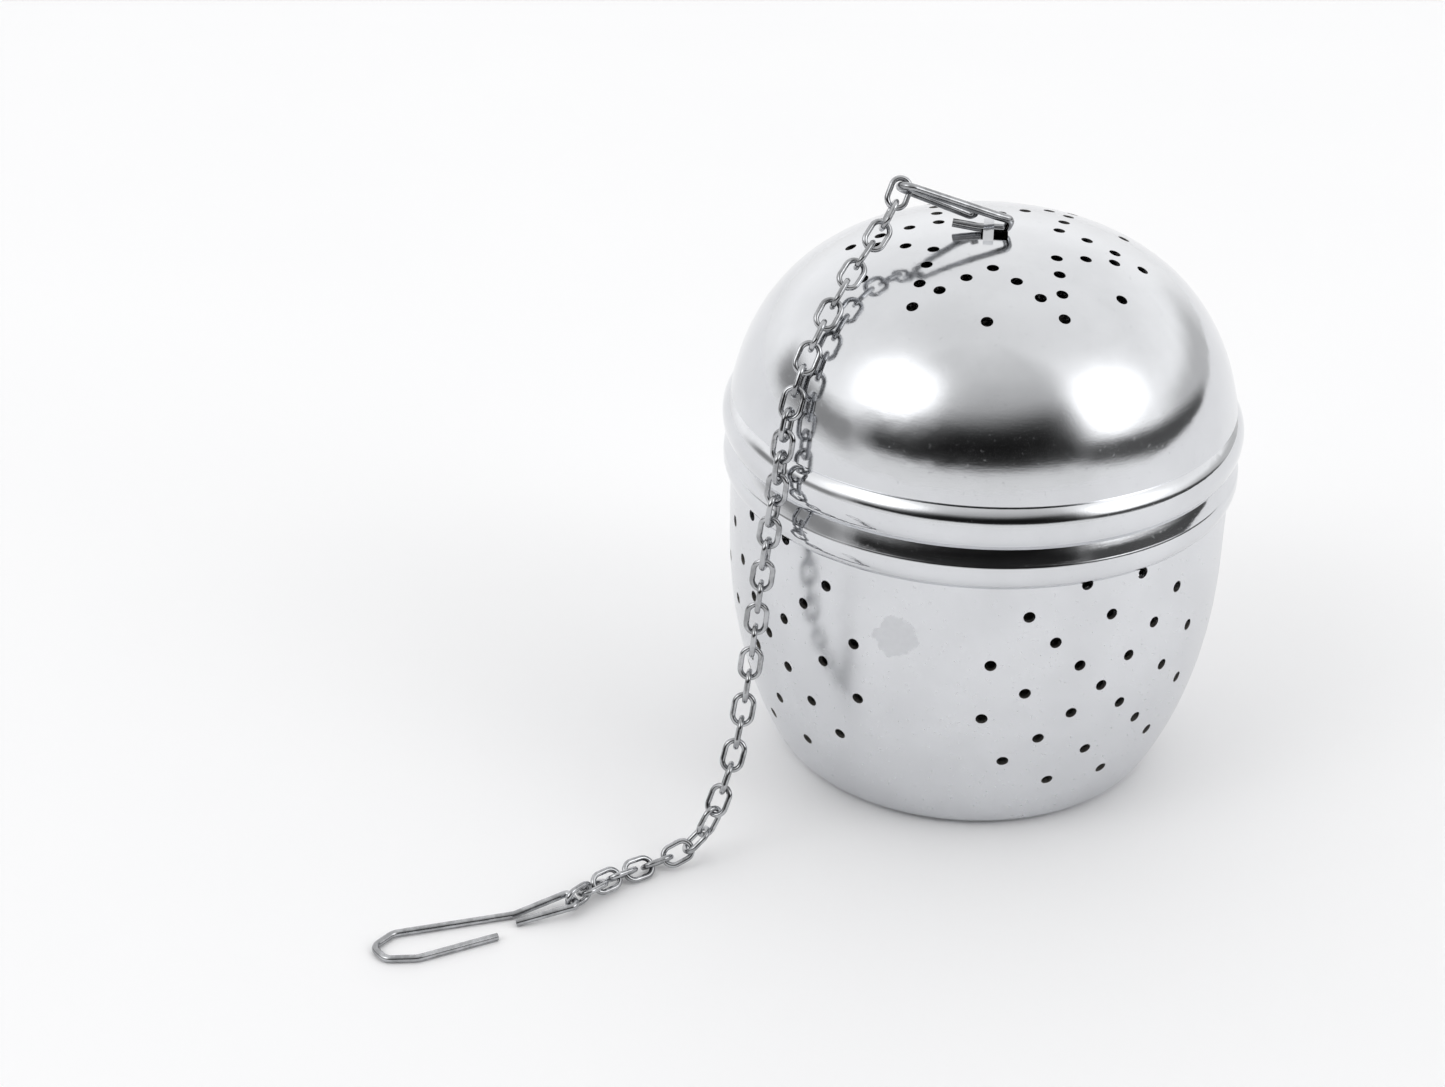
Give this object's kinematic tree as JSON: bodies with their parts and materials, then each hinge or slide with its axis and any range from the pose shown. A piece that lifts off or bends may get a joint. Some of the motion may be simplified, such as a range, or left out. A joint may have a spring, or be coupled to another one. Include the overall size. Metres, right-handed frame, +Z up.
{
  "type": "tea infuser",
  "caption": "Perforated stainless-steel tea ball: straight-sided cup, domed push-on lid, wire clip, oval-link chain and wire hook for a mug's rim.",
  "frame": {"origin": "centre of the cup's flat base, on the table", "axes": "+Z up the axis of cup and lid; -Y towards the front; the chain hangs on the left-front side (-X, -Y)"},
  "size_m": [0.079, 0.0744, 0.062],
  "materials": {
    "pressed_steel_cup": "bright rolled stainless steel sheet, polished outside",
    "pressed_steel_lid": "bright pressed stainless steel, polished dome",
    "steel_wire": "bright drawn stainless wire",
    "chain_steel": "bright drawn wire links"
  },
  "bodies": {
    "cup": {"cup_shell": "pressed_steel_cup"},
    "lid": {"lid_shell": "pressed_steel_lid"},
    "clip": {"crown_clip": "steel_wire"},
    "chain_a": {"chain_link_01": "chain_steel", "chain_link_02": "chain_steel", "chain_link_03": "chain_steel", "chain_link_04": "chain_steel", "chain_link_05": "chain_steel", "chain_link_06": "chain_steel"},
    "chain_b": {"chain_link_07": "chain_steel", "chain_link_08": "chain_steel", "chain_link_09": "chain_steel", "chain_link_10": "chain_steel", "chain_link_11": "chain_steel", "chain_link_12": "chain_steel"},
    "chain_c": {"chain_link_13": "chain_steel", "chain_link_14": "chain_steel", "chain_link_15": "chain_steel", "chain_link_16": "chain_steel", "chain_link_17": "chain_steel", "chain_link_18": "chain_steel"},
    "chain_d": {"chain_link_19": "chain_steel", "chain_link_20": "chain_steel", "chain_link_21": "chain_steel", "chain_link_22": "chain_steel", "chain_link_23": "chain_steel", "chain_link_24": "chain_steel"},
    "chain_e": {"chain_link_25": "chain_steel", "chain_link_26": "chain_steel", "chain_link_27": "chain_steel", "chain_link_28": "chain_steel", "chain_link_29": "chain_steel", "chain_link_30": "chain_steel", "chain_link_31": "chain_steel"},
    "chain_f": {"chain_link_32": "chain_steel", "chain_link_33": "chain_steel", "chain_link_34": "chain_steel", "chain_link_35": "chain_steel"},
    "chain_g": {"chain_link_36": "chain_steel", "chain_link_37": "chain_steel", "chain_link_38": "chain_steel"},
    "hook": {"end_hook": "steel_wire"}
  },
  "joints": [
    {"name": "lid_lift", "type": "slide", "parent": "cup", "child": "lid", "axis": [0, 0, 1], "range_m": [0, 0.03]},
    {"name": "clip_tilt", "type": "hinge", "parent": "lid", "child": "clip", "pos_m": [0, -0.00012, 0.05632], "axis": [-1, 0, 0], "range_deg": [0, 25]},
    {"name": "chain_top_swing", "type": "hinge", "parent": "clip", "child": "chain_a", "pos_m": [-0.00888, -0.00272, 0.0611], "axis": [-0.2857, 0.8571, -0.4286], "range_deg": [0, 25]},
    {"name": "chain_bend_b", "type": "hinge", "parent": "chain_a", "child": "chain_b", "pos_m": [-0.01431, -0.01156, 0.05244], "axis": [-0.8167, 0.5635, -0.124], "range_deg": [0, 25]},
    {"name": "chain_bend_c", "type": "hinge", "parent": "chain_b", "child": "chain_c", "pos_m": [-0.01808, -0.01857, 0.04191], "axis": [-0.7515, 0.6464, -0.1319], "range_deg": [0, 25]},
    {"name": "chain_bend_d", "type": "hinge", "parent": "chain_c", "child": "chain_d", "pos_m": [-0.01962, -0.02033, 0.02895], "axis": [-0.7214, 0.6913, 0.0403], "range_deg": [0, 25]},
    {"name": "chain_bend_e", "type": "hinge", "parent": "chain_d", "child": "chain_e", "pos_m": [-0.02096, -0.02307, 0.01557], "axis": [-0.7556, 0.6356, -0.1587], "range_deg": [0, 25]},
    {"name": "chain_bend_f", "type": "hinge", "parent": "chain_e", "child": "chain_f", "pos_m": [-0.02574, -0.02948, 0.00201], "axis": [-0.5514, 0.8258, 0.1184], "range_deg": [0, 25]},
    {"name": "chain_bend_g", "type": "hinge", "parent": "chain_f", "child": "chain_g", "pos_m": [-0.03226, -0.03424, 0.0012], "axis": [-0.7052, 0.7091, -0.0013], "range_deg": [0, 25]},
    {"name": "hook_swing", "type": "hinge", "parent": "chain_g", "child": "hook", "pos_m": [-0.03553, -0.03822, 0.0013], "axis": [-0.534, 0.8455, 0], "range_deg": [0, 60]}
  ]
}
